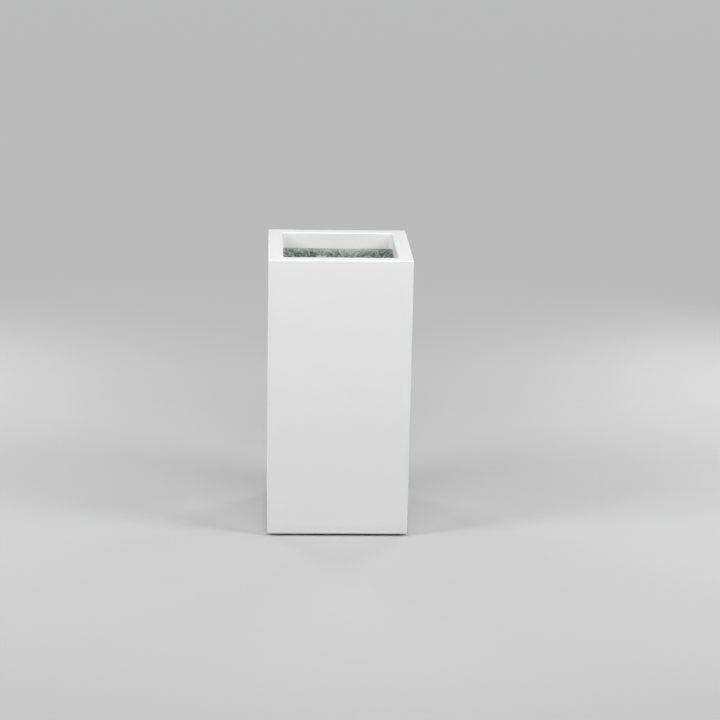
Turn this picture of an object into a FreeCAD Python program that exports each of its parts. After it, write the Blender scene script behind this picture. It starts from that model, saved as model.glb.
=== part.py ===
"""Tall square floor planter in hand-laid glass fibre.

A five-sided shell carries a flat rim with a turned-down lip. Timber battens stiffen the rim from behind and
a raw laminate lining wraps them. Glass tape bonds that lining, and the laminated floor, to the walls.
A rubber bung closes the drain in the floor.
All sizes are in millimetres. The origin is on the ground under the middle of the planter, +Z is up
and the front faces -Y.
"""

import FreeCAD
import Part

import math
import os

# Outside of the planter
body_side = 300.0          # width and depth over the painted faces
body_height = 600.0        # underside of the shell to the top of the rim
edge_radius = 2.5          # rounding on every outside edge

# Shell laminate
wall = 4.0
bottom = 5.0
drape = 5.0                # inside corners, where the glass mat cannot fold sharply

# Rim moulding
rim_width = 30.0           # flat band seen from above
rim_plate = 5.0
lip_depth = 35.0           # top of the rim to the lower edge of the lip
lip_thickness = 4.0
mouth_radius = 8.0         # upright corners of the mouth
mouth_edge_radius = 3.0    # rounding where the rim turns down into the mouth

# Raw laminate under the lip
raw_band = 25.0            # bare glass seen below the painted lip
lining = 3.0

# Floor
board = 12.0               # plywood
floor_skin = 3.0           # laminate over the plywood

# Glass tape on the inside of the walls
tape = 3.0
rim_tape_width = 40.0      # down from the rim lining
floor_tape_width = 45.0    # up from the floor
paste = 8.0                # bevel of bonding paste between the floor and the tape

# Drain
drain_bore = 25.0
bung_clearance = 0.3       # radial, at the sealing ribs
bung_rib_height = 2.5      # rib over the bare stem
bung_ribs = 2
bung_flange_diameter = 38.0
bung_flange = 3.0
bung_taper = 1.5           # radius that the flange and the grip lose towards their tops
bung_neck_diameter = 10.0
bung_neck = 6.0            # flange to the grip
bung_grip_diameter = 20.0
bung_grip = 8.0
bung_recess = 2.0          # end of the stem above the underside of the shell

# Glides
glide_diameter = 32.0
glide_height = 5.0
glide_taper = 1.5          # radius that a glide loses towards the ground
glide_inset = 45.0         # centre of a glide from the two outer faces
screw_diameter = 4.0
screw_head_diameter = 8.0
screw_head_recess = 1.0    # head above the ground
screw_tip_cover = 4.0      # plywood left above the screw
screw_clearance = 0.15     # radial, in every hole

bond = 0.2                 # resin line between bonded pieces

# Levels and spans that follow from the sizes above
ground = 0.0
shell_low = ground + glide_height
rim_top = shell_low + body_height
rim_seat = rim_top - rim_plate
lip_low = rim_top - lip_depth
raw_low = lip_low - raw_band
floor_low = shell_low + bottom
board_top = floor_low + board
floor_top = board_top + floor_skin

inside = body_side - 2 * wall
taped_side = inside - 2 * bond - 2 * tape
mouth = body_side - 2 * rim_width
lip_outside = mouth + 2 * lip_thickness
lip_outside_radius = mouth_radius + lip_thickness

glide_offset = body_side / 2 - glide_inset
glide_places = [(x, y) for x in (-glide_offset, glide_offset) for y in (-glide_offset, glide_offset)]


def up(z):
    """A point on the planter's own axis."""
    return FreeCAD.Vector(0, 0, z)


def square_block(side, low, high):
    """A block with a square plan, centred on the axis."""
    return Part.makeBox(side, side, high - low, FreeCAD.Vector(-side / 2, -side / 2, low))


def same(a, b):
    """Two lengths that agree to a thousandth of a millimetre."""
    return abs(a - b) < 0.001


def upright_edges(shape):
    """Edges that run up rather than along."""
    return [e for e in shape.Edges if e.BoundBox.ZLength > max(e.BoundBox.XLength, e.BoundBox.YLength)]


def edges_at(shape, level):
    """Edges that lie flat at one level."""
    return [e for e in shape.Edges if same(e.BoundBox.ZMin, level) and same(e.BoundBox.ZMax, level)]


def off_axis(point):
    """How far a point lies from the middle of the planter, along X or Y."""
    return max(abs(point.x), abs(point.y))


def rounded_square(side, radius, z):
    """A level square outline with an arc at each corner."""
    half = side / 2
    flat = half - radius
    middle = flat + radius * math.sqrt(0.5)
    edges = []
    for turn in range(4):
        start = FreeCAD.Vector(half, -flat, z)
        end = FreeCAD.Vector(half, flat, z)
        corner = Part.Arc(end, FreeCAD.Vector(middle, middle, z), FreeCAD.Vector(flat, half, z))
        for edge in (Part.LineSegment(start, end).toShape(), corner.toShape()):
            edge.rotate(up(0), up(1), 90 * turn)
            edges.append(edge)
    return Part.Wire(edges)


def rounded_block(side, radius, low, high):
    """A square block whose four upright edges are rounded."""
    return Part.Face(rounded_square(side, radius, low)).extrude(up(high - low))


def drilled(shape, diameter, low, high, places=((0.0, 0.0),)):
    """The shape with round upright holes."""
    for x, y in places:
        shape = shape.cut(Part.makeCylinder(diameter / 2, high - low, FreeCAD.Vector(x, y, low)))
    return shape


def envelope():
    """The planter's outside, every edge rounded."""
    block = square_block(body_side, shell_low, rim_top)
    return block.makeFillet(edge_radius, block.Edges)


def tapered_block(low_side, high_side, radius, low, high):
    """A block with sloping sides between two rounded squares."""
    outlines = [rounded_square(low_side, radius, low), rounded_square(high_side, radius, high)]
    return Part.makeLoft(outlines, True, True)


def cavity(inset, high):
    """The hollow that the shell leaves, up to a level, drawn in at the walls and bevelled at its foot."""
    side = inside - 2 * inset
    foot = tapered_block(side - 2 * drape, side, drape, floor_low, floor_low + drape)
    return foot.fuse(rounded_block(side, drape, floor_low + drape, high)).removeSplitter()


def tape_block(low, high):
    """The space inside the walls out to their resin line."""
    return rounded_block(inside - 2 * bond, drape, low, high)


def screw_hole_diameter():
    """Holes that the screws pass or bite into."""
    return screw_diameter + 2 * screw_clearance


def make_shell():
    """Four walls and the bottom, one laminate."""
    shell = envelope().common(square_block(body_side, shell_low, rim_seat))
    shell = shell.cut(cavity(0.0, rim_seat))
    shell = drilled(shell, drain_bore, shell_low, floor_low)
    return drilled(shell, screw_hole_diameter(), shell_low, floor_low, glide_places)


def make_rim():
    """The flat top with its turned-down lip, bonded on the shell's upper edge."""
    plate = envelope().common(square_block(body_side, rim_seat, rim_top))
    lip = rounded_block(lip_outside, lip_outside_radius, lip_low, rim_seat)
    rim = plate.fuse(lip).cut(rounded_block(mouth, mouth_radius, lip_low, rim_top)).removeSplitter()
    middle_of_band = (mouth + rim_width) / 2
    mouth_edges = [e for e in edges_at(rim, rim_top) if off_axis(e.CenterOfMass) < middle_of_band]
    return rim.makeFillet(mouth_edge_radius, mouth_edges)


def batten(length, thickness, low, high):
    """A plain timber strip along X, with its outer face on the XZ plane and its body towards -Y."""
    return Part.makeBox(length, thickness, high - low, FreeCAD.Vector(-length / 2, -thickness, low))


def make_battens():
    """Four stiffening strips between the walls and the lip; the side pair runs the full inside length."""
    low = raw_low + lining + bond
    high = rim_seat - bond
    wall_face = inside / 2 - bond
    thickness = wall_face - lip_outside / 2 - bond
    lip_face = wall_face - thickness
    long_strip = batten(2 * wall_face, thickness, low, high)
    outer_corners = [e for e in upright_edges(long_strip) if same(e.BoundBox.YMax, 0)]
    long_strip = long_strip.makeFillet(drape, outer_corners)
    short_strip = batten(2 * (lip_face - bond), thickness, low, high)
    quarter_turns = {"back": 0, "left": 1, "front": 2, "right": 3}
    strips = {}
    for side, turns in quarter_turns.items():
        strip = (short_strip if turns % 2 == 0 else long_strip).copy()
        strip.translate(FreeCAD.Vector(0, wall_face, 0))
        strip.rotate(up(0), up(1), 90 * turns)
        strips["rim_batten_" + side] = strip
    return strips


def make_rim_lining():
    """Bare laminate from the lip's lower edge, round the battens and back to the walls."""
    ring = tape_block(raw_low, raw_low + lining)
    ring = ring.fuse(rounded_block(lip_outside, lip_outside_radius, raw_low, lip_low))
    return ring.cut(rounded_block(mouth, mouth_radius, raw_low, lip_low)).removeSplitter()


def make_wall_tape(low, high):
    """A strip of glass tape right round the inside of the walls."""
    return tape_block(low, high).cut(rounded_block(taped_side, drape, low, high))


def make_floor_paste():
    """A bevelled bead of bonding paste in the corner between the floor and its tape."""
    high = floor_top + paste
    bead = rounded_block(taped_side, drape, floor_top, high)
    return bead.cut(tapered_block(taped_side - 2 * paste, taped_side, drape, floor_top, high))


def make_base_board():
    """Plywood bedded on the shell's bottom, its lower edge bevelled to suit the draped corner."""
    board_block = drilled(cavity(bond, board_top), drain_bore, floor_low, board_top)
    pilot_top = screw_tip_level() + screw_clearance
    return drilled(board_block, screw_hole_diameter(), floor_low, pilot_top, glide_places)


def make_floor_laminate():
    """Bare laminate over the plywood."""
    return drilled(tape_block(board_top, floor_top), drain_bore, board_top, floor_top)


def at(radius, z):
    """A point of a turned outline."""
    return FreeCAD.Vector(radius, 0, z)


def turned(outline):
    """A solid turned about the planter's axis from the points of its outline."""
    return Part.Face(Part.makePolygon(outline + outline[:1])).revolve(up(0), up(1), 360)


def make_drain_bung():
    """Rubber stopper pressed in from above: ribbed stem, flange on the floor and a grip to pull."""
    rib_radius = drain_bore / 2 - bung_clearance
    stem_radius = rib_radius - bung_rib_height
    stem_low = shell_low + bung_recess
    rib_pitch = (floor_top - stem_low) / (bung_ribs + 1)
    flange_radius = bung_flange_diameter / 2
    flange_top = floor_top + bung_flange
    neck_radius = bung_neck_diameter / 2
    grip_radius = bung_grip_diameter / 2
    grip_low = flange_top + bung_neck
    crown = grip_low + bung_grip

    outline = [at(0, stem_low)]
    for i in range(bung_ribs):
        rib_low = stem_low + i * rib_pitch
        rib_high = rib_low + rib_pitch
        outline += [at(stem_radius, rib_low), at(rib_radius, rib_high), at(stem_radius, rib_high)]
    outline += [
        at(stem_radius, floor_top),
        at(flange_radius, floor_top),
        at(flange_radius - bung_taper, flange_top),
        at(neck_radius, flange_top),
        at(neck_radius, grip_low),
        at(grip_radius, grip_low),
        at(grip_radius - bung_taper, crown),
        at(0, crown),
    ]
    return turned(outline)


def screw_tip_level():
    """The screw's far end, short of the plywood's upper face."""
    return board_top - screw_tip_cover


def countersink(low, clearance):
    """The cone of the screw's head, grown by a clearance and carried down to a level."""
    head_low = ground + screw_head_recess
    narrow = screw_diameter / 2
    wide = screw_head_diameter / 2 + head_low - low
    high = head_low + screw_head_diameter / 2 - narrow
    return Part.makeCone(wide + clearance, narrow + clearance, high - low, up(low))


def make_glide():
    """Round moulded foot with a countersunk hole, resting on the ground."""
    disc = Part.makeCone(glide_diameter / 2 - glide_taper, glide_diameter / 2, glide_height, up(ground))
    disc = drilled(disc, screw_hole_diameter(), ground, shell_low)
    return disc.cut(countersink(ground, screw_clearance))


def make_screw():
    """Countersunk screw with its head down."""
    head_low = ground + screw_head_recess
    shank = Part.makeCylinder(screw_diameter / 2, screw_tip_level() - head_low, up(head_low))
    return countersink(head_low, 0.0).fuse(shank).removeSplitter()


def at_each_corner(shape):
    """Four copies of the shape, one at each glide's place."""
    copies = []
    for x, y in glide_places:
        copy = shape.copy()
        copy.translate(FreeCAD.Vector(x, y, 0))
        copies.append(copy)
    return Part.makeCompound(copies)


def make_planter():
    """Every piece in its place, by name."""
    pieces = {
        "shell": make_shell(),
        "rim": make_rim(),
        "rim_lining": make_rim_lining(),
        "rim_tape": make_wall_tape(raw_low - rim_tape_width, raw_low),
        "base_board": make_base_board(),
        "floor_laminate": make_floor_laminate(),
        "floor_tape": make_wall_tape(floor_top, floor_top + floor_tape_width),
        "floor_paste": make_floor_paste(),
        "drain_bung": make_drain_bung(),
        "glides": at_each_corner(make_glide()),
        "glide_screws": at_each_corner(make_screw()),
    }
    pieces.update(make_battens())
    return pieces


os.makedirs("parts", exist_ok=True)
for name, piece in make_planter().items():
    piece.exportStep(os.path.join("parts", name + ".step"))
    solids = len(piece.Solids)
    print(f"{name}: {solids} solid(s), {piece.Volume / 1000:.1f} cm3, valid {piece.isValid()}")
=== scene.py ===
import math

import bmesh
import bpy
from mathutils import Matrix, Vector, noise


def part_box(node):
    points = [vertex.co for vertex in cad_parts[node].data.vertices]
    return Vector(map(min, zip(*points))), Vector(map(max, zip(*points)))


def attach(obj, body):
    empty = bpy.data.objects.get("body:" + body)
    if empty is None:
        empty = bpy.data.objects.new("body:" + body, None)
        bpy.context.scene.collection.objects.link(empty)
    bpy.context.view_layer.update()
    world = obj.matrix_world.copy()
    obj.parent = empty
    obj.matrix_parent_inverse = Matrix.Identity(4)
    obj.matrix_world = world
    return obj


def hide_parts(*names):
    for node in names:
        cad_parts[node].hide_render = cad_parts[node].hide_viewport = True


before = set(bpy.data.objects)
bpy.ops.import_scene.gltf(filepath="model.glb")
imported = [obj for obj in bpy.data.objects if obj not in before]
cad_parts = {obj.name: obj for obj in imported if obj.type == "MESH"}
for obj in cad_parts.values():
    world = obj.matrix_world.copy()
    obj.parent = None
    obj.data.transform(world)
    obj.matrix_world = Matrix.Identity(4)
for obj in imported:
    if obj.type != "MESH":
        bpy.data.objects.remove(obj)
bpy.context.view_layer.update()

# Shell
# Four walls and a bottom, laid up by hand in a mould as one piece of glass fibre. The outside is rubbed
# down and sprayed satin white, and its panels stay a little uneven. Inside, the back of the mat is bare.

shell_low, shell_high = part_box("shell")
shell_half = shell_high.x
shell_foot = shell_low.z
rim_seat = shell_high.z
shell_wall = 0.004
shell_bottom = 0.005
outer_rounding = 0.0025
inner_rounding = 0.005
sharp_corner = 0.0004
drain_radius = 0.0125
panel_step = 0.010
panel_unevenness = 0.0002
panel_wave = 0.12
mat_unevenness = 0.0003
mat_wave = 0.022
seat_fade = 0.02
side_points = 36
corner_points = 8
bend_points = 6
crease_angle = math.radians(35)
paint_tones = (0.865, 0.865, 0.865, 1), (0.885, 0.885, 0.882, 1)
paint_refraction = 1.48
peel_relief = 0.00002
dust_tone = (0.5, 0.48, 0.45, 1)
dust_reach = 0.03


def section(corners, step):
    """A closed outline through (across, height, rounding) corners, anticlockwise, with no point
    further than a step from the next."""
    bends = []
    for before, corner, after in zip(corners[-1:] + corners[:-1], corners, corners[1:] + corners[:1]):
        here = Vector(corner[:2])
        rounding = corner[2]
        back = (Vector(before[:2]) - here).normalized()
        on = (Vector(after[:2]) - here).normalized()
        weight = math.sin(back.angle(on) / 2)
        bend_start = here + back * rounding
        bend_end = here + on * rounding
        for i in range(bend_points + 1 if rounding else 1):
            t = i / bend_points
            shares = (1 - t) ** 2, 2 * weight * t * (1 - t), t * t
            bend = shares[0] * bend_start + shares[1] * here + shares[2] * bend_end
            bends.append(bend / sum(shares))
    outline = []
    for start, end in zip(bends, bends[1:] + bends[:1]):
        pieces = math.ceil((end - start).length / step)
        outline += [start.lerp(end, i / pieces) for i in range(pieces)]
    return outline


def square_ring(half, rounding, z):
    """Points round a level square with rounded corners, anticlockwise from the back left corner."""
    flat = half - rounding
    ring = []
    for side in range(4):
        turn = Matrix.Rotation(side * math.pi / 2, 3, "Z")
        for i in range(side_points):
            ring.append(turn @ Vector((-half, flat - 2 * flat * i / side_points, z)))
        for i in range(corner_points):
            angle = math.pi + math.pi / 2 * i / corner_points
            x = rounding * math.cos(angle) - flat
            y = rounding * math.sin(angle) - flat
            ring.append(turn @ Vector((x, y, z)))
    return ring


def round_ring(radius, z, points=4 * (side_points + corner_points)):
    """Points round a level circle, in step with those of a square ring."""
    angles = [math.pi + 2 * math.pi * (j - side_points / 2) / points for j in range(points)]
    return [Vector((radius * math.cos(a), radius * math.sin(a), z)) for a in angles]


def loft(rings, hollow=True):
    """A skin over rings of points. The last ring meets the first where the piece is hollow, and otherwise
    both are closed by a cap. The UV map is in metres, along the rings and across them."""
    skin = bmesh.new()
    surface = skin.loops.layers.uv.new("surface")
    rows = [[skin.verts.new(point) for point in ring] for ring in rings]
    if hollow:
        rows.append(rows[0])
    else:
        skin.faces.new(rows[0][::-1])
        skin.faces.new(rows[-1])
    across = 0.0
    for row, next_row in zip(rows, rows[1:]):
        step = (next_row[0].co - row[0].co).length
        along = 0.0
        for j in range(len(row)):
            k = (j + 1) % len(row)
            width = (row[k].co - row[j].co).length
            face = skin.faces.new((row[j], row[k], next_row[k], next_row[j]))
            for loop, u, v in zip(face.loops, (0, width, width, 0), (0, 0, step, step)):
                loop[surface].uv = along + u, across + v
            along += width
        across += step
    return skin


def square_loft(outline, plan_rounding):
    """A skin round the middle of the planter. plan_rounding gives each level square's corner radius."""
    rings = []
    for half, z in outline:
        rounding = plan_rounding(half)
        rings.append(square_ring(half, rounding, z) if rounding < half else round_ring(half, z))
    return loft(rings)


def make_uneven(skin, height):
    """Moves each point along its normal by the height there."""
    skin.normal_update()
    for point, move in [(v, v.normal * height(v.co)) for v in skin.verts]:
        point.co += move


def finished(name, skin, finishes, second=None):
    """A smooth object made of the skin, with flats that stay flat up to their roundings. Faces whose middle
    second picks take the second finish."""
    mesh = bpy.data.meshes.new(name)
    for finish in finishes:
        mesh.materials.append(finish)
    if second:
        for face in skin.faces:
            face.material_index = int(second(face.calc_center_median()))
    skin.to_mesh(mesh)
    skin.free()
    mesh.shade_smooth()
    mesh.set_sharp_from_angle(angle=crease_angle)
    piece = bpy.data.objects.new(name, mesh)
    bpy.context.scene.collection.objects.link(piece)
    flats = piece.modifiers.new("flats", "WEIGHTED_NORMAL")
    flats.keep_sharp = True
    return piece


class Socket:
    """A socket of a node tree, which takes part in ordinary arithmetic."""

    def __init__(self, tree, socket=None):
        self.tree = tree
        self.socket = socket

    def node(self, kind, inputs=None, output=0, **settings):
        """Adds a node with its settings, then the values or links of its sockets, and gives one output."""
        made = self.tree.nodes.new(kind)
        for name, value in settings.items():
            setattr(made, name, value)
        for key, value in (inputs or {}).items():
            if isinstance(value, Socket):
                self.tree.links.new(value.socket, made.inputs[key])
            else:
                made.inputs[key].default_value = value
        return Socket(self.tree, made.outputs[output] if made.outputs else None)

    def other(self, output):
        """Another output of the same node."""
        return Socket(self.tree, self.socket.node.outputs[output])

    def math(self, operation, a, b=0.0):
        """Arithmetic on numbers."""
        return self.node("ShaderNodeMath", {0: a, 1: b}, operation=operation)

    def vector_math(self, operation, *vectors, output="Vector"):
        """Arithmetic on vectors."""
        return self.node("ShaderNodeVectorMath", dict(enumerate(vectors)), output, operation=operation)

    def __add__(self, other):
        return self.math("ADD", self, other)

    def __radd__(self, other):
        return self.math("ADD", other, self)

    def __sub__(self, other):
        return self.math("SUBTRACT", self, other)

    def __rsub__(self, other):
        return self.math("SUBTRACT", other, self)

    def __mul__(self, other):
        return self.math("MULTIPLY", self, other)

    def __rmul__(self, other):
        return self.math("MULTIPLY", other, self)

    def __truediv__(self, other):
        return self.math("DIVIDE", self, other)

    def rise(self, low, high):
        """0 up to low, 1 from high on, and eased between them."""
        return self.node("ShaderNodeMapRange", {0: self, 1: low, 2: high}, interpolation_type="SMOOTHSTEP")

    def grain(self, place, scale, detail=2.0):
        """Noise round 0.5, with lumps about 1 / scale metres across."""
        return self.node("ShaderNodeTexNoise", {"Vector": place, "Scale": scale, "Detail": detail})

    def streaks(self, place, sizes, turn=0.0, shift=(0.0, 0.0, 0.0)):
        """The place in units of a streak's own sizes, along axes that are turned about the third one."""
        turned = {"Vector": place, "Location": shift, "Rotation": (0, 0, turn), "Scale": sizes}
        return self.node("ShaderNodeMapping", turned, vector_type="TEXTURE")

    def mix(self, share, a, b):
        """A colour on its way from a to b."""
        return self.node("ShaderNodeMix", {0: share, 6: a, 7: b}, output=2, data_type="RGBA")


def new_finish(name):
    """An empty material and the start of its node tree."""
    material = bpy.data.materials.new(name)
    material.use_nodes = True
    material.node_tree.nodes.clear()
    return material, Socket(material.node_tree)


def close_finish(start, relief, depth, **sockets):
    """Gives the material a surface whose relief is up to depth metres high."""
    bump = start.node("ShaderNodeBump", {"Height": relief, "Distance": depth})
    named = {name.replace("_", " "): value for name, value in sockets.items()}
    surface = start.node("ShaderNodeBsdfPrincipled", {**named, "Normal": bump})
    start.node("ShaderNodeOutputMaterial", {"Surface": surface})


def white_paint():
    """Satin two-pack paint: an even white, faint orange peel, and smears that show only in the gloss."""
    material, start = new_finish("white_paint")
    place = start.node("ShaderNodeTexCoord", output="Object")
    z = start.node("ShaderNodeSeparateXYZ", {0: place}, output="Z")
    smear = start.grain(place, 16.0, 5.0).rise(0.45, 0.75)
    dust = (1 - z.rise(shell_foot, shell_foot + dust_reach)) * start.grain(place, 60.0, 4.0)
    clean = start.mix(start.grain(place, 7.0), *paint_tones)
    colour = start.mix(dust * 0.12, clean, dust_tone)
    rough = 0.52 + 0.07 * smear + 0.12 * dust
    peel = start.grain(place, 420.0, 1.0) + 0.4 * start.grain(place, 1300.0, 1.0)
    close_finish(start, peel, peel_relief, Base_Color=colour, Roughness=rough, IOR=paint_refraction)
    return material


strand_turns = [math.radians(turn) for turn in (4, 29, 61, 87, 118, 142, 167)]
dry_resin = (0.045, 0.09, 0.064, 1), (0.125, 0.21, 0.16, 1)
wet_resin = (0.014, 0.044, 0.027, 1), (0.068, 0.145, 0.1, 1)
resin_refraction = 1.54
glass_pale = (0.7, 0.8, 0.765, 1)
felt_streak = (0.04, 0.0016, 1)
felt_shift = (0.37, 0.19, 0)
mat_relief = 0.0003
mist_tone = (0.72, 0.74, 0.73, 1)
mist_drift = 0.02
mist_speckle = 0.014
# How much lower the paint mist lies mid-side than in the corners. This is partly painted shade: the corners
# stay darker where the side rims cast shadow, and the middle stays paler where both lamps reach.
mist_dip_and_corner_shade = 0.01
mist_cover = 0.85


def misted(start, colour, half, low, high):
    """The colour under a ragged mist of stray paint, from nothing at low to most of it at high. It lies
    lower in the middle of each side, at half from the axis, than in the corners. That is partly painted
    light: the middle of each side, lit by both lamps, is painted paler, and the corners, in the shadow of
    the side rims, are painted darker."""
    place = start.node("ShaderNodeTexCoord", output="Object")
    x = start.node("ShaderNodeSeparateXYZ", {0: place})
    y, z = x.other("Y"), x.other("Z")
    # Painted shade: towards the corners the mist is lowered, so they stay darker green where the side rims
    # cast shadow, and the middle of each side, lit by both lamps, stays paler.
    corner_shade = (x * x + y * y) / half ** 2 - 1
    drift = mist_drift * (start.grain(place, 14.0, 1.0) - 0.5)
    speckle = mist_speckle * (start.grain(place, 150.0, 3.0) - 0.5)
    mist = (z + (drift + speckle) - mist_dip_and_corner_shade * corner_shade).rise(low, high)
    return start.mix(mist * mist_cover, colour, mist_tone)


def bare_laminate(name, resin, mist=None, level=False):
    """The back of chopped strand mat: green resin, with strands lying every way just under its skin. On a
    level piece they are laid out as seen from above, and on any other along its UV map."""
    material, start = new_finish(name)
    if level:
        surface = start.node("ShaderNodeTexCoord", output="Object")
    else:
        surface = start.node("ShaderNodeUVMap", uv_map="surface")
    felt = 0.0
    for i, turn in enumerate(strand_turns):
        along = start.streaks(surface, felt_streak, turn, [step * i for step in felt_shift])
        felt = start.math("MAXIMUM", felt, start.grain(along, 1.0, 0.0).rise(0.58, 0.74))
    depth = start.grain(surface, 30.0, 4.0)
    fibre = start.grain(surface, 900.0)
    pool = start.mix(depth.rise(0.3, 0.72), *resin)
    colour = start.mix(felt * (0.08 + 0.5 * fibre), pool, glass_pale)
    if mist:
        colour = misted(start, colour, *mist)
    rough = 0.42 - 0.2 * depth + 0.16 * fibre
    relief = felt + 0.7 * depth + 0.3 * fibre
    close_finish(start, relief, mat_relief, Base_Color=colour, Roughness=rough, IOR=resin_refraction)
    return material


def shell_plan(half):
    """Corner radius of a level square through the shell."""
    if half > shell_half - shell_wall:
        return max(sharp_corner, outer_rounding - (shell_half - half))
    return inner_rounding if half > 2 * drain_radius else half


def is_inside(point):
    """Whether a point of the shell lies on its hollow side."""
    reach = max(abs(point.x), abs(point.y))
    return reach < shell_half - shell_wall / 2 and point.z > shell_foot + shell_bottom / 2


def shell_height(point):
    """How uneven the shell is: gently so outside, and lumpy inside, where resin only ever adds to it."""
    fade = min(1.0, (rim_seat - point.z) / seat_fade)
    if is_inside(point):
        lumps = 0.5 + 0.5 * noise.noise(point / mat_wave) + 0.3 * noise.noise(point / mat_wave * 3)
        return fade * mat_unevenness * max(0.0, lumps)
    return fade * panel_unevenness * noise.noise(point / panel_wave)


cavity_half = shell_half - shell_wall
cavity_floor = shell_foot + shell_bottom
shell_outline = section(
    [
        (drain_radius, shell_foot, 0),
        (shell_half, shell_foot, outer_rounding),
        (shell_half, rim_seat, 0),
        (cavity_half, rim_seat, 0),
        (cavity_half, cavity_floor, inner_rounding),
        (drain_radius, cavity_floor, 0),
    ],
    panel_step,
)
shell_skin = square_loft(shell_outline, shell_plan)
make_uneven(shell_skin, shell_height)
paint = white_paint()
laminate = bare_laminate("bare_laminate", dry_resin)
shell = finished("shell_moulding", shell_skin, [paint, laminate], second=is_inside)
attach(shell, "planter")
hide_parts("shell")

# Base board
# Plywood bedded on the bottom of the shell, to stiffen it and to hold the screws of the glides. It is
# wholly covered in; its plies show only in the drain, once the bung is out.

ply_thickness = 0.0024
ply_tone = (0.3, 0.19, 0.1, 1)
veneer_tones = (0.42, 0.28, 0.16, 1), (0.62, 0.46, 0.29, 1)
veneer_figure = (0.11, 0.011, 0.003)
veneer_relief = 0.0002


def plywood():
    """Rotary-cut veneers, dark and pale in turn through the thickness."""
    material, start = new_finish("plywood")
    place = start.node("ShaderNodeTexCoord", output="Object")
    z = start.node("ShaderNodeSeparateXYZ", {0: place}, output="Z")
    ply = start.math("PINGPONG", z / ply_thickness, 1.0).rise(0.4, 0.6)
    figure = start.grain(start.streaks(place, veneer_figure), 1.0, 5.0)
    veneer = start.mix(figure, *veneer_tones)
    colour = start.mix(ply * 0.55, veneer, ply_tone)
    close_finish(start, figure, veneer_relief, Base_Color=colour, Roughness=0.6 + 0.25 * figure)
    return material


def dress(node, finish):
    """Gives a CAD node, which keeps its own shape, a finish."""
    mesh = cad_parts[node].data
    mesh.materials.clear()
    mesh.materials.append(finish)


dress("base_board", plywood())

# Floor laminate
# A skin of bare glass mat over the plywood, wetted with resin and rolled flat by hand. The drain is drilled
# through it, and the edge of the hole is eased.

floor_low, floor_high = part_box("floor_laminate")
floor_unevenness = 0.0004
floor_spread = 0.6
floor_roundest = 0.85
drain_reach = 1.6 * drain_radius
drain_edge = 0.001
drain_fade = 0.02


def floor_plan(half):
    """Corner radius of a level square on the floor, which becomes the round of the drain."""
    spread = inner_rounding + floor_spread * (floor_high.x - half)
    return half if half < drain_reach else min(floor_roundest * half, spread)


floor_outline = section(
    [
        (drain_radius, floor_low.z, 0),
        (floor_high.x, floor_low.z, 0),
        (floor_high.x, floor_high.z, 0),
        (drain_radius, floor_high.z, drain_edge),
    ],
    panel_step,
)
floor_skin = square_loft(floor_outline, floor_plan)


def floor_height(point):
    """Hollows of the floor's upper face, none of them near the drain."""
    away = min(1.0, max(0.0, point.to_2d().length - 2 * drain_radius) / drain_fade)
    upper = point.z > floor_high.z - drain_edge / 2
    return -floor_unevenness * away * upper * abs(noise.noise(point / mat_wave))


make_uneven(floor_skin, floor_height)
floor_piece = finished("floor_skin", floor_skin, [bare_laminate("floor_laminate", dry_resin, level=True)])
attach(floor_piece, "planter")
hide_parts("floor_laminate")

# Floor paste
# A bead of filled resin pressed into the corner all round the floor and wiped with a thumb, so that the
# tape above it has no sharp corner to cross.

paste_low, paste_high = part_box("floor_paste")
paste_size = paste_high.z - paste_low.z
paste_middle = 0.42 * paste_size
paste_rounding = 0.003
paste_step = 0.003
paste_unevenness = 0.0006
paste_lump = 0.012
paste_tones = (0.3, 0.34, 0.28, 1), (0.46, 0.48, 0.42, 1)
paste_swirl = (0.025, 0.025, 0.006)
paste_relief = 0.0004
pore_tone = (0.12, 0.14, 0.11, 1)


def resin_paste():
    """Grey-green resin thick with filler, dull, with pinholes."""
    material, start = new_finish("resin_paste")
    place = start.node("ShaderNodeTexCoord", output="Object")
    swirl = start.grain(start.streaks(place, paste_swirl), 1.0, 4.0)
    pores = start.grain(place, 700.0, 1.0).rise(0.68, 0.76)
    stirred = start.mix(swirl, *paste_tones)
    colour = start.mix(pores * 0.6, stirred, pore_tone)
    close_finish(start, swirl - pores, paste_relief, Base_Color=colour, Roughness=0.5 + 0.2 * swirl)
    return material


paste_outline = section(
    [
        (paste_high.x - paste_size, paste_low.z, 0),
        (paste_high.x, paste_low.z, 0),
        (paste_high.x, paste_high.z, 0),
        (paste_high.x - paste_middle, paste_low.z + paste_middle, paste_rounding),
    ],
    paste_step,
)
paste_skin = square_loft(paste_outline, lambda half: inner_rounding)
make_uneven(paste_skin, lambda point: paste_unevenness * noise.noise(point / paste_lump))
paste_bead = finished("paste_bead", paste_skin, [resin_paste()])
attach(paste_bead, "planter")
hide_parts("floor_paste")

# Glass tapes
# Two bands of mat laid in wet resin round the inside of the walls: one holds the floor, the other the
# lining of the rim. Each is torn along its free edge, so that it feathers out into the wall.

tape_thickness = 0.003
tape_feather = 0.014
tape_edge = 0.0005
tape_rounding = 0.004
tape_step = 0.006
tape_unevenness = 0.0006
tape_lump = 0.015
tear_depth = 0.006
tear_wave = 0.05
tear_fray = 0.009


def tape_skin(half, held, free):
    """A band whose held edge is square and whose free edge is thin and torn."""
    face = half - tape_thickness
    shoulder = free + math.copysign(tape_feather, held - free)
    corners = [
        (face, held, 0),
        (half, held, 0),
        (half, free, 0),
        (half - tape_edge, free, 0),
        (face, shoulder, tape_rounding),
    ]
    if held > free:
        corners.reverse()
    skin = square_loft(section(corners, tape_step), lambda level_half: inner_rounding)
    for point in skin.verts:
        share = max(0.0, 1 - abs(point.co.z - free) / (2 * tape_feather))
        plan = Vector((point.co.x, point.co.y, free))
        tear = noise.noise(plan / tear_wave) + 0.6 * noise.noise(plan / tear_fray)
        point.co.z += share * tear_depth * tear
    make_uneven(skin, lambda point: tape_unevenness * max(0.0, noise.noise(point / tape_lump)))
    return skin


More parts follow.
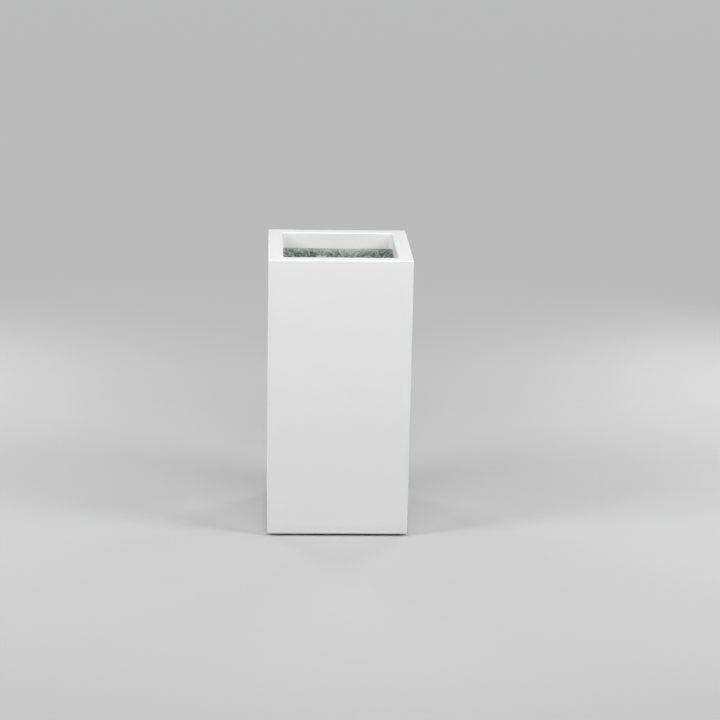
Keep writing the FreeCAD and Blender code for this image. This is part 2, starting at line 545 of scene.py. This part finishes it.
floor_tape_low, floor_tape_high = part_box("floor_tape")
rim_tape_low, rim_tape_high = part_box("rim_tape")
tape_runs = {
    "floor_tape": (floor_tape_high.x, floor_tape_low.z, floor_tape_high.z),
    "rim_tape": (rim_tape_high.x, rim_tape_high.z, rim_tape_low.z),
}
for node, run in tape_runs.items():
    tape = finished(node + "_band", tape_skin(*run), [laminate])
    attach(tape, "planter")
    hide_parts(node)

# Rim battens
# Four strips of sawn softwood between the walls and the lip, bedded in resin. They stiffen the rim and
# are wholly covered in.

ring_spacing = 0.0035
ring_sway = 0.012
sway_streak = (0.33, 0.08, 0.08)
saw_streak = (0.002, 0.025, 0.017)
saw_relief = 0.0002
pine_tones = (0.66, 0.48, 0.28, 1), (0.48, 0.31, 0.15, 1)


def softwood(name, turn):
    """Sawn pine with its grain along X, turned where a strip runs the other way."""
    material, start = new_finish(name)
    place = start.streaks(start.node("ShaderNodeTexCoord", output="Object"), (1, 1, 1), turn)
    sway = start.grain(start.streaks(place, sway_streak), 1.0)
    y = start.node("ShaderNodeSeparateXYZ", {0: place}, output="Y")
    rings = start.math("PINGPONG", (y + ring_sway * sway) / ring_spacing, 1.0)
    saw = start.grain(start.streaks(place, saw_streak), 1.0)
    colour = start.mix(rings, *pine_tones)
    close_finish(start, saw + 0.4 * rings, saw_relief, Base_Color=colour, Roughness=0.65 + 0.2 * saw)
    return material


for side, turn in (("front", 0), ("back", 0), ("left", math.pi / 2), ("right", math.pi / 2)):
    dress("rim_batten_" + side, softwood("softwood_" + side, turn))

# Rim lining
# Bare mat wrapped under the battens after the rim was bonded on. It starts flush with the lip, turns
# under the battens and runs out to the walls. It is wetter than the walls, so darker, and stray paint from
# the lip has drifted on to its upper edge.

lining_low, lining_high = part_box("rim_lining")
rim_low, rim_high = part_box("rim")
rim_width = 0.030
mouth_half = shell_half - rim_width
mouth_rounding = 0.008
lip_thickness = 0.004
lining_thickness = 0.003
lining_rounding = 0.0025
lining_step = 0.004
lining_unevenness = 0.0005
lining_lump = 0.011
lining_fade = 0.006
mist_depth = 0.017
mist_height = 0.003


def mouth_plan(half):
    """Corner radius of a level square round the mouth, out to the walls."""
    share = (half - mouth_half) / (lining_high.x - mouth_half)
    return mouth_rounding + share * (inner_rounding - mouth_rounding)


def lining_height(point):
    """Lumps of the lining, level with the lip where the two meet."""
    below_lip = min(1.0, max(0.0, (lining_high.z - point.z) / lining_fade))
    return lining_unevenness * below_lip * noise.noise(point / lining_lump)


lining_outline = section(
    [
        (mouth_half, lining_low.z, lining_rounding),
        (lining_high.x, lining_low.z, 0),
        (lining_high.x, lining_low.z + lining_thickness, 0),
        (mouth_half + lip_thickness, lining_low.z + lining_thickness, 0),
        (mouth_half + lip_thickness, lining_high.z, 0),
        (mouth_half, lining_high.z, 0),
    ],
    lining_step,
)
lining_skin = square_loft(lining_outline, mouth_plan)
make_uneven(lining_skin, lining_height)
mist_reach = (mouth_half, lining_high.z - mist_depth, lining_high.z + mist_height)
lining = finished("lining_band", lining_skin, [bare_laminate("misted_laminate", wet_resin, mist_reach)])
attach(lining, "planter")
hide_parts("rim_lining")

# Rim
# A separate moulding: a flat top with a lip turned down into the mouth. It is bonded on the walls and
# the battens, the joint is filled and rubbed flush, and both are sprayed together.

mouth_edge = 0.003
rim_step = 0.006
rim_unevenness = 0.00008
rim_wave = 0.045


def rim_plan(half):
    """Corner radius of a level square through the rim: wide at the mouth and tight at the outer edge."""
    if half > shell_half - outer_rounding:
        return max(sharp_corner, outer_rounding - (shell_half - half))
    share = (half - mouth_half) / (shell_half - outer_rounding - mouth_half)
    return mouth_rounding + share * (sharp_corner - mouth_rounding)


def rim_height(point):
    """How uneven the rim is; its outer edge stays flush with the walls."""
    outer = max(abs(point.x), abs(point.y)) > shell_half - outer_rounding
    return 0.0 if outer else rim_unevenness * noise.noise(point / rim_wave)


rim_outline = section(
    [
        (mouth_half, rim_low.z, 0),
        (mouth_half + lip_thickness, rim_low.z, 0),
        (mouth_half + lip_thickness, rim_seat, 0),
        (shell_half, rim_seat, 0),
        (shell_half, rim_high.z, outer_rounding),
        (mouth_half, rim_high.z, mouth_edge),
    ],
    rim_step,
)
rim_skin = square_loft(rim_outline, rim_plan)
make_uneven(rim_skin, rim_height)
rim = finished("rim_moulding", rim_skin, [paint])
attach(rim, "planter")
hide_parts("rim")

# Glass strands
# Bundles of chopped glass that stand proud of the resin wherever the mat is bare. They lie every way, pale
# where resin never soaked in, and bend with the mat round the corners. The lining's are chopped shorter.

long_strand = (0.042, 0.0014)
short_strand = (0.018, 0.0027)
strand_bow = 0.06
strand_flatness = 0.1
strand_lift = 0.00035
strand_segments = 5
strand_sides = 3
strand_stretch = (0.5, 1.2)
strand_swell = (0.5, 1.5)
strand_relief = 0.0001
filament_streak = (0.03, 0.0003, 0.01)
dry_dullest = 0.0
wet_dullest = 0.22
lip_clearance = 0.001
wall_count = 4800
tape_count = 420
lining_count = 350
floor_count = 900
seeds_apart = 10
floor_seed = 70


def chance(start, low, high, seed):
    """A random number for each point."""
    return start.node("FunctionNodeRandomValue", {2: low, 3: high, 8: seed}, output=1, data_type="FLOAT")


def chance_place(start, nearest, furthest, seed):
    """A random place for each point, between two corners."""
    corners = {0: nearest, 1: furthest, 8: seed}
    return start.node("FunctionNodeRandomValue", corners, data_type="FLOAT_VECTOR")


def vector(start, x=0.0, y=0.0, z=0.0):
    """Three numbers as one vector."""
    return start.node("ShaderNodeCombineXYZ", {0: x, 1: y, 2: z})


def strand_finish(name, resin, mist=None):
    """Wetted glass: its tone is set strand by strand, and its filaments run along it."""
    material, start = new_finish(name)
    tone = start.node("ShaderNodeAttribute", output="Fac", attribute_name="tone")
    lie = start.node("ShaderNodeAttribute", output="Vector", attribute_name="lie")
    along = start.streaks(lie, filament_streak, shift=vector(start, 0.0, tone))
    filament = start.grain(along, 1.0, 1.0).rise(0.3, 0.7)
    colour = start.mix(tone * (0.35 + filament), resin[1], glass_pale)
    if mist:
        colour = misted(start, colour, *mist)
    rough = 0.5 - 0.2 * filament
    close_finish(start, filament, strand_relief, Base_Color=colour, Roughness=rough, IOR=resin_refraction)
    return material


def new_tree(name, inputs):
    """An empty Geometry Nodes tree with these inputs, and its start."""
    tree = bpy.data.node_groups.new(name, "GeometryNodeTree")
    for label, kind in inputs.items():
        tree.interface.new_socket(label, in_out="INPUT", socket_type="NodeSocket" + kind)
    tree.interface.new_socket("Geometry", in_out="OUTPUT", socket_type="NodeSocketGeometry")
    return tree, Socket(tree).node("NodeGroupInput")


def one_strand(start, length, width):
    """A flat bundle along X with a slight bow, closed at both ends. It keeps each point's place in it."""
    line = start.node(
        "GeometryNodeCurveQuadraticBezier",
        {
            "Resolution": strand_segments,
            "Start": vector(start, length * -0.5),
            "Middle": vector(start, 0.0, length * strand_bow),
            "End": vector(start, length * 0.5),
        },
    )
    profile = start.node(
        "GeometryNodeCurvePrimitiveCircle", {"Resolution": strand_sides, "Radius": width * 0.5}
    )
    bundle = start.node(
        "GeometryNodeCurveToMesh", {"Curve": line, "Profile Curve": profile, "Fill Caps": True}
    )
    flat = start.node("GeometryNodeTransform", {"Geometry": bundle, "Scale": (1, 1, strand_flatness)})
    faceted = start.node("GeometryNodeSetShadeSmooth", {0: flat, "Shade Smooth": False})
    return start.node(
        "GeometryNodeStoreNamedAttribute",
        {"Geometry": faceted, "Name": "lie", "Value": start.node("GeometryNodeInputPosition")},
        data_type="FLOAT_VECTOR",
    )


def scattered(start, points, keep, strand, stretch, turn, seed):
    """A strand on each point that is kept, stretched, turned and toned by chance. None is duller than the
    tree's Dullest."""
    laid = start.node(
        "GeometryNodeInstanceOnPoints",
        {
            "Points": points,
            "Selection": keep,
            "Instance": strand,
            "Rotation": vector(start, 0.0, 0.0, turn),
            "Scale": vector(start, stretch, chance(start, *strand_swell, seed + 3), 1.0),
        },
    )
    toned = start.node(
        "GeometryNodeStoreNamedAttribute",
        {"Geometry": laid, "Name": "tone", "Value": chance(start, start.other("Dullest"), 1.0, seed + 4)},
        domain="INSTANCE",
    )
    return start.node("GeometryNodeRealizeInstances", {"Geometry": toned})


def wrapped_strands():
    """Strands scattered over a flat band, which is then wrapped round the inside of a rounded square."""
    tree, start = new_tree(
        "wrapped_strands",
        {
            "Half": "Float", "Rounding": "Float", "Low": "Float", "High": "Float", "Count": "Int",
            "Length": "Float", "Width": "Float", "Lift": "Float", "Dullest": "Float", "Seed": "Int",
            "Finish": "Material",
        },
    )
    low, high, length, seed = (start.other(name) for name in ("Low", "High", "Length", "Seed"))
    side = start.other("Half") * 2.0
    square = start.node("GeometryNodeCurvePrimitiveQuadrilateral", {"Width": side, "Height": side})
    rounded = start.node(
        "GeometryNodeFilletCurve",
        {"Curve": square, "Count": bend_points, "Radius": start.other("Rounding")},
        mode="POLY",
    )
    round_wall = start.node("GeometryNodeReverseCurve", {"Curve": rounded})
    way_round = start.node("GeometryNodeCurveLength", {"Curve": round_wall})
    nearest = vector(start, 0.0, low)
    furthest = vector(start, way_round, high, start.other("Lift"))
    spot = chance_place(start, nearest, furthest, seed)
    points = start.node("GeometryNodePoints", {"Count": start.other("Count"), "Position": spot})
    here = start.node("GeometryNodeInputPosition")
    height = start.node("ShaderNodeSeparateXYZ", {0: here}, output="Y")
    stretch = chance(start, *strand_stretch, seed + 1)
    room = start.math("MINIMUM", height - low, high - height) / (0.5 * length * stretch)
    turn = start.math("ARCSINE", start.math("MINIMUM", room, 1.0)) * chance(start, -1.0, 1.0, seed + 2)
    strand = one_strand(start, length, start.other("Width"))
    flat = scattered(start, points, True, strand, stretch, turn, seed)
    along = start.node("ShaderNodeSeparateXYZ", {0: here})
    wall = start.node(
        "GeometryNodeSampleCurve",
        {"Curves": round_wall, "Length": start.math("FLOORED_MODULO", along, way_round)},
        output="Position",
        mode="LENGTH",
        use_all_curves=True,
    )
    inward = start.vector_math("CROSS_PRODUCT", wall.other("Tangent"), (0, 0, 1))
    lifted = start.vector_math("MULTIPLY_ADD", inward, along.other("Z"), wall)
    place = start.vector_math("ADD", lifted, vector(start, 0.0, 0.0, height))
    bent = start.node("GeometryNodeSetPosition", {"Geometry": flat, "Position": place})
    done = start.node("GeometryNodeSetMaterial", {"Geometry": bent, "Material": start.other("Finish")})
    start.node("NodeGroupOutput", {0: done})
    return tree


def level_strands():
    """Strands scattered over a level square, none of them across the round space that is kept clear."""
    tree, start = new_tree(
        "level_strands",
        {
            "Half": "Float", "Clear": "Float", "Level": "Float", "Count": "Int", "Length": "Float",
            "Width": "Float", "Lift": "Float", "Dullest": "Float", "Seed": "Int", "Finish": "Material",
        },
    )
    half, level, length, seed = (start.other(name) for name in ("Half", "Level", "Length", "Seed"))
    nearest = vector(start, half * -1.0, half * -1.0, level)
    furthest = vector(start, half, half, level + start.other("Lift"))
    spot = chance_place(start, nearest, furthest, seed)
    points = start.node("GeometryNodePoints", {"Count": start.other("Count"), "Position": spot})
    stretch = chance(start, *strand_stretch, seed + 1)
    turn = chance(start, 0.0, math.pi, seed + 2)
    x = start.node("ShaderNodeSeparateXYZ", {0: start.node("GeometryNodeInputPosition")})
    y = x.other("Y")
    across = start.math("COSINE", turn)
    along = start.math("SINE", turn)
    reach = 0.5 * length * stretch
    onward = start.math("MINIMUM", (x * across + y * along) * -1.0, reach)
    step = start.math("MAXIMUM", onward, reach * -1.0)
    closest = vector(start, x + step * across, y + step * along)
    gap = start.vector_math("LENGTH", closest, output="Value")
    keep = start.math("GREATER_THAN", gap, start.other("Clear"))
    strand = one_strand(start, length, start.other("Width"))
    laid = scattered(start, points, keep, strand, stretch, turn, seed)
    done = start.node("GeometryNodeSetMaterial", {"Geometry": laid, "Material": start.other("Finish")})
    start.node("NodeGroupOutput", {0: done})
    return tree


def grown(piece, tree, **sizes):
    """Turns what the tree makes of the piece and the sizes into the piece's plain mesh."""
    grower = piece.modifiers.new(tree.name, "NODES")
    grower.node_group = tree
    for socket in tree.interface.items_tree:
        if socket.in_out == "INPUT" and socket.name in sizes:
            grower[socket.identifier] = sizes[socket.name]
    depsgraph = bpy.context.evaluated_depsgraph_get()
    seen = piece.evaluated_get(depsgraph)
    piece.data = bpy.data.meshes.new_from_object(seen, preserve_all_data_layers=True, depsgraph=depsgraph)
    piece.modifiers.remove(grower)
    return piece


def bare_piece(name):
    """An object with nothing in it yet."""
    piece = bpy.data.objects.new(name, bpy.data.meshes.new(name))
    bpy.context.scene.collection.objects.link(piece)
    return piece


dry_strand = {
    "Length": long_strand[0],
    "Width": long_strand[1],
    "Lift": strand_lift,
    "Dullest": dry_dullest,
    "Finish": strand_finish("glass_strand", dry_resin),
}
wet_strand = {
    "Length": short_strand[0],
    "Width": short_strand[1],
    "Lift": strand_lift,
    "Dullest": wet_dullest,
    "Finish": strand_finish("misted_strand", wet_resin, mist_reach),
}
floor_tape_face = floor_tape_high.x - tape_thickness
floor_tape_torn = floor_tape_high.z - tape_feather
rim_tape_face = rim_tape_high.x - tape_thickness
rim_tape_torn = rim_tape_low.z + tape_feather
lining_foot = lining_low.z + lining_rounding
lining_top = lining_high.z - lip_clearance
strand_bands = {
    "wall_strands": (
        cavity_half, inner_rounding, floor_tape_high.z, rim_tape_low.z, wall_count, dry_strand
    ),
    "floor_tape_strands": (
        floor_tape_face, inner_rounding, paste_high.z, floor_tape_torn, tape_count, dry_strand
    ),
    "rim_tape_strands": (
        rim_tape_face, inner_rounding, rim_tape_torn, rim_tape_high.z, tape_count, dry_strand
    ),
    "lining_strands": (mouth_half, mouth_rounding, lining_foot, lining_top, lining_count, wet_strand),
}
strand_tree = wrapped_strands()
for i, (name, (half, rounding, low, high, count, kind)) in enumerate(strand_bands.items()):
    strands = grown(
        bare_piece(name), strand_tree, Half=half, Rounding=rounding, Low=low, High=high, Count=count,
        Seed=seeds_apart * i, **kind,
    )
    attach(strands, "planter")

bung_low, bung_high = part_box("drain_bung")
bung_flange_radius = bung_high.x
longest_reach = long_strand[0] * strand_stretch[1] / 2
floor_strands = grown(
    bare_piece("floor_strands"), level_strands(), Half=paste_high.x - longest_reach,
    Clear=bung_flange_radius + long_strand[1], Level=floor_high.z, Count=floor_count, Seed=floor_seed,
    **dry_strand,
)
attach(floor_strands, "planter")

# Drain bung
# A moulded rubber stopper, pushed in from above. Its flange lies on the floor, two ribs seal the drain,
# and the grip on top pulls it out.

bung_rib_radius = 0.0122
bung_stem_radius = 0.0097
bung_flange = 0.003
bung_neck_radius = 0.005
bung_neck = 0.006
bung_grip_radius = 0.010
bung_taper = 0.0015
bung_rounding = 0.0009
bung_edge = 0.0004
bung_step = 0.003
bung_ribs = 2
rib_pitch = (floor_high.z - bung_low.z) / (bung_ribs + 1)
rib_edge = 0.0006
turned_points = 64
axis_gap = 0.0002
rubber_tones = (0.018, 0.018, 0.019, 1), (0.06, 0.06, 0.058, 1)
rubber_relief = 0.00004


def black_rubber():
    """Moulded rubber: near black, with a bloom of grey and a mould's fine grain."""
    material, start = new_finish("black_rubber")
    place = start.node("ShaderNodeTexCoord", output="Object")
    bloom = start.grain(place, 90.0, 4.0).rise(0.4, 0.8)
    colour = start.mix(bloom, *rubber_tones)
    mould = start.grain(place, 2400.0, 1.0)
    close_finish(start, mould, rubber_relief, Base_Color=colour, Roughness=0.48 + 0.22 * bloom)
    return material


def turned_rings(corners, step):
    """Rings of a turned piece, from the corners of its section between two ends on the axis."""
    outline = [point for point in section(corners, step) if point.x > axis_gap]
    return [round_ring(radius, z, turned_points) for radius, z in outline]


flange_top = floor_high.z + bung_flange
grip_low = flange_top + bung_neck
bung_corners = [(0.0, bung_low.z, 0), (bung_stem_radius, bung_low.z, bung_edge)]
for rib in range(1, bung_ribs + 1):
    rib_top = bung_low.z + rib * rib_pitch
    bung_corners += [(bung_rib_radius, rib_top, rib_edge), (bung_stem_radius, rib_top, 0)]
bung_corners += [
    (bung_stem_radius, floor_high.z, 0),
    (bung_flange_radius, floor_high.z, bung_edge),
    (bung_flange_radius - bung_taper, flange_top, bung_rounding),
    (bung_neck_radius, flange_top, bung_rounding),
    (bung_neck_radius, grip_low, bung_rounding),
    (bung_grip_radius, grip_low, bung_rounding),
    (bung_grip_radius - bung_taper, bung_high.z, 2 * bung_rounding),
    (0.0, bung_high.z, 0),
]
bung_skin = loft(turned_rings(bung_corners, bung_step), hollow=False)
bung = finished("bung_moulding", bung_skin, [black_rubber()])
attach(bung, "bung")
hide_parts("drain_bung")

# Glides
# Four black moulded feet under the corners, which keep the painted edge off the ground. Each has a
# countersunk hole for its screw.

glides_low, glides_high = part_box("glides")
glide_radius = 0.016
glide_taper = 0.0015
glide_spread = glides_high.x - glide_radius
glide_rounding = 0.0012
glide_edge = 0.0004
glide_step = 0.004
glide_seed = 1
screw_hole_radius = 0.00215
screw_sink_radius = 0.00515
screw_sink_depth = 0.003
screw_sink_edge = 0.0003
nylon_tone = (0.022, 0.022, 0.024, 1)
nylon_relief = 0.00003
scuff_tone = (0.2, 0.19, 0.18, 1)
scuff_streak = (0.017, 0.0011, 0.017)
scuff_turn = 0.5
scuff_reach = 0.0012


def black_nylon():
    """Moulded nylon: dark grey, scuffed pale where it has slid."""
    material, start = new_finish("black_nylon")
    place = start.node("ShaderNodeTexCoord", output="Object")
    z = start.node("ShaderNodeSeparateXYZ", {0: place}, output="Z")
    scuff = start.grain(start.streaks(place, scuff_streak, scuff_turn), 1.0, 3.0).rise(0.52, 0.7)
    worn = scuff * (1 - z.rise(glides_low.z, glides_low.z + scuff_reach))
    colour = start.mix(worn, nylon_tone, scuff_tone)
    relief = start.grain(place, 1800.0) - 0.3 * worn
    close_finish(start, relief, nylon_relief, Base_Color=colour, Roughness=0.42 + 0.3 * worn)
    return material


def one_at_each_corner():
    """Copies of the piece at the four corners of a square, each turned by chance."""
    tree, start = new_tree(
        "one_at_each_corner",
        {"Geometry": "Geometry", "Spread": "Float", "Seed": "Int", "Finish": "Material"},
    )
    side = start.other("Spread") * 2.0
    square = start.node("GeometryNodeCurvePrimitiveQuadrilateral", {"Width": side, "Height": side})
    turn = vector(start, 0.0, 0.0, chance(start, 0.0, 2 * math.pi, start.other("Seed")))
    copies = start.node(
        "GeometryNodeInstanceOnPoints",
        {"Points": square, "Instance": start.other("Geometry"), "Rotation": turn},
    )
    real = start.node("GeometryNodeRealizeInstances", {"Geometry": copies})
    done = start.node("GeometryNodeSetMaterial", {"Geometry": real, "Material": start.other("Finish")})
    start.node("NodeGroupOutput", {0: done})
    return tree


glide_corners = [
    (screw_sink_radius, glides_low.z, screw_sink_edge),
    (glide_radius - glide_taper, glides_low.z, glide_rounding),
    (glide_radius, glides_high.z, glide_edge),
    (screw_hole_radius, glides_high.z, 0),
    (screw_hole_radius, glides_low.z + screw_sink_depth, 0),
]
glide_rings = [round_ring(radius, z, turned_points) for radius, z in section(glide_corners, glide_step)]
corner_tree = one_at_each_corner()
nylon = black_nylon()
one_glide = finished("glide_feet", loft(glide_rings), [nylon])
glides = grown(one_glide, corner_tree, Spread=glide_spread, Seed=glide_seed, Finish=nylon)
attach(glides, "planter")
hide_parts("glides")

# Glide screws
# Four countersunk zinc-plated wood screws with a cross recess, driven up through the glides and the
# bottom into the plywood.

screws_low, screws_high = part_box("glide_screws")
screw_head_radius = 0.004
screw_shank_radius = 0.002
screw_head_edge = 0.0002
screw_point = 0.003
screw_tip_radius = 0.0004
screw_seed = 5
recess_arm = 0.0021
recess_width = 0.0009
recess_depth = 0.0017
recess_taper = 0.6
nearly_zero = 0.001
zinc_tones = (0.52, 0.46, 0.3, 1), (0.68, 0.66, 0.58, 1)
zinc_relief = 0.00002


def zinc_plate():
    """Yellow-passivated zinc, slightly blotched."""
    material, start = new_finish("zinc_plate")
    place = start.node("ShaderNodeTexCoord", output="Object")
    blotch = start.grain(place, 500.0, 3.0)
    colour = start.mix(blotch, *zinc_tones)
    rough = 0.28 + 0.2 * blotch
    close_finish(start, blotch, zinc_relief, Base_Color=colour, Roughness=rough, Metallic=1.0)
    return material


def cross_ring(arm, width, z):
    """The outline of a cross, with a point on the same bearing as each point of a turned ring."""
    ring = []
    for spoke in round_ring(1.0, z, turned_points):
        long_way, short_way = sorted((abs(spoke.x), abs(spoke.y)), reverse=True)
        reach = min(arm / long_way, width / 2 / max(short_way, nearly_zero))
        ring.append(Vector((spoke.x * reach, spoke.y * reach, z)))
    return ring


sink_height = screw_head_radius - screw_shank_radius
screw_rounds = [
    (screw_head_radius - screw_head_edge, screws_low.z),
    (screw_head_radius, screws_low.z + screw_head_edge),
    (screw_shank_radius, screws_low.z + sink_height),
    (screw_shank_radius, screws_high.z - screw_point),
    (screw_tip_radius, screws_high.z),
]
screw_rings = [
    cross_ring(recess_arm * recess_taper, recess_width * recess_taper, screws_low.z + recess_depth),
    cross_ring(recess_arm, recess_width, screws_low.z),
]
screw_rings += [round_ring(radius, z, turned_points) for radius, z in screw_rounds]
zinc = zinc_plate()
one_screw = finished("glide_screw_set", loft(screw_rings, hollow=False), [zinc])
screws = grown(one_screw, corner_tree, Spread=glide_spread, Seed=screw_seed, Finish=zinc)
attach(screws, "planter")
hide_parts("glide_screws")

# Ground
# The plain pale floor that the planter stands on. It is pale to look at, and throws a little less light
# back on the planter. Away from the planter it fades into the even tone of the room.

ground_half = 30.0
ground_tones = (0.5, 0.5, 0.505, 1), (0.54, 0.54, 0.545, 1)
ground_bounce = (0.36, 0.36, 0.36, 1)
ground_fade = (0.45, 2.0)
ground_relief = 0.00005
room_tone = (0.46, 0.46, 0.465, 1)
no_light = (0, 0, 0, 1)


def is_seen(start):
    """1 where the surface is looked at, straight or in a reflection, and 0 where it only gives light."""
    looked_at = start.node("ShaderNodeLightPath", output="Is Camera Ray")
    return looked_at + looked_at.other("Is Glossy Ray") + looked_at.other("Is Transmission Ray")


def pale_floor():
    """Smooth pale floor with a faint mottle."""
    material, start = new_finish("pale_floor")
    place = start.node("ShaderNodeTexCoord", output="Object")
    pale = start.mix(start.grain(place, 1.6, 5.0), *ground_tones)
    away = start.vector_math("LENGTH", place, output="Value")
    seen = is_seen(start)
    faded = seen * away.rise(*ground_fade)
    colour = start.mix(faded, start.mix(seen, ground_bounce, pale), no_light)
    glow = start.mix(faded, no_light, room_tone)
    close_finish(
        start, start.grain(place, 240.0, 3.0), ground_relief, Base_Color=colour, Roughness=0.75,
        Emission_Color=glow, Emission_Strength=1.0,
    )
    return material


ground_mesh = bpy.data.meshes.new("ground")
ground_signs = ((-1, -1), (1, -1), (1, 1), (-1, 1))
ground_corners = [(x * ground_half, y * ground_half, 0) for x, y in ground_signs]
ground_mesh.from_pydata(ground_corners, [], [(0, 1, 2, 3)])
ground_mesh.materials.append(pale_floor())
ground = bpy.data.objects.new("ground", ground_mesh)
bpy.context.scene.collection.objects.link(ground)

# Light
# Two soft boxes to the left and right, a little forward, a wide fill high in front, two low boxes behind
# the planter and a small panel overhead, in a pale room. Seen from low down, the flat rim mirrors little
# of them.

box_distance = 2.2
box_size = (0.8, 0.9)
front_bearing = math.radians(66)
front_height = 1.95
front_power = 33.5
back_bearing = math.radians(142)
back_height = 0.72
back_power = 18.0
fill_place = Vector((0, -2.5, 2.4))
fill_size = (3.0, 0.7)
fill_power = 46.5
panel_place = Vector((0, 0, 2.8))
panel_size = (0.9, 0.9)
panel_power = 3.8
light_aim = Vector((0, 0, 0.4))
room_light = (0.11, 0.11, 0.112, 1)


def soft_light(name, place, size, power):
    """An evenly glowing rectangle that faces the planter."""
    lamp = bpy.data.lights.new(name, "AREA")
    lamp.shape = "RECTANGLE"
    lamp.size, lamp.size_y = size
    lamp.energy = power
    holder = bpy.data.objects.new(name, lamp)
    holder.location = place
    holder.rotation_euler = (light_aim - place).to_track_quat("-Z", "Y").to_euler()
    bpy.context.scene.collection.objects.link(holder)


box_pairs = {
    "front": (front_bearing, front_height, front_power),
    "back": (back_bearing, back_height, back_power),
}
for pair, (bearing, height, power) in box_pairs.items():
    for side, sign in (("left", -1), ("right", 1)):
        aside = sign * box_distance * math.sin(bearing)
        place = Vector((aside, -box_distance * math.cos(bearing), height))
        soft_light(f"{pair}_{side}_box", place, box_size, power)
soft_light("front_fill", fill_place, fill_size, fill_power)
soft_light("overhead_panel", panel_place, panel_size, panel_power)

room = bpy.data.worlds.new("room")
room.use_nodes = True
room.node_tree.nodes.clear()
room_start = Socket(room.node_tree)
room_colour = room_start.mix(is_seen(room_start), room_light, room_tone)
room_glow = room_start.node("ShaderNodeBackground", {"Color": room_colour})
room_start.node("ShaderNodeOutputWorld", {"Surface": room_glow})
bpy.context.scene.world = room

# Camera
# A long lens at standing eye level, looking down on the front of the planter from a little to its left. Its
# place, turn and lens are those that lay the planter's corners and rim over the photographed ones.

camera_place = (-0.1695, -4.6637, 1.6446)
camera_yaw = math.radians(2.681)
camera_pitch = math.radians(15.497)
camera_roll = math.radians(1.080)
camera_lens = 111.99
camera_sensor = 36.0

ahead = Vector((
    math.sin(camera_yaw) * math.cos(camera_pitch),
    math.cos(camera_yaw) * math.cos(camera_pitch),
    -math.sin(camera_pitch),
))
level_right = Vector((math.cos(camera_yaw), -math.sin(camera_yaw), 0))
level_up = level_right.cross(ahead)
right = math.cos(camera_roll) * level_right + math.sin(camera_roll) * level_up
upward = math.cos(camera_roll) * level_up - math.sin(camera_roll) * level_right
camera_data = bpy.data.cameras.new("camera")
camera_data.sensor_width = camera_sensor
camera_data.lens = camera_lens
camera = bpy.data.objects.new("camera", camera_data)
camera_turn = Matrix((right, upward, -ahead)).transposed().to_4x4()
camera.matrix_world = Matrix.Translation(camera_place) @ camera_turn
bpy.context.scene.collection.objects.link(camera)
bpy.context.scene.camera = camera
bpy.context.scene.view_settings.view_transform = "Standard"
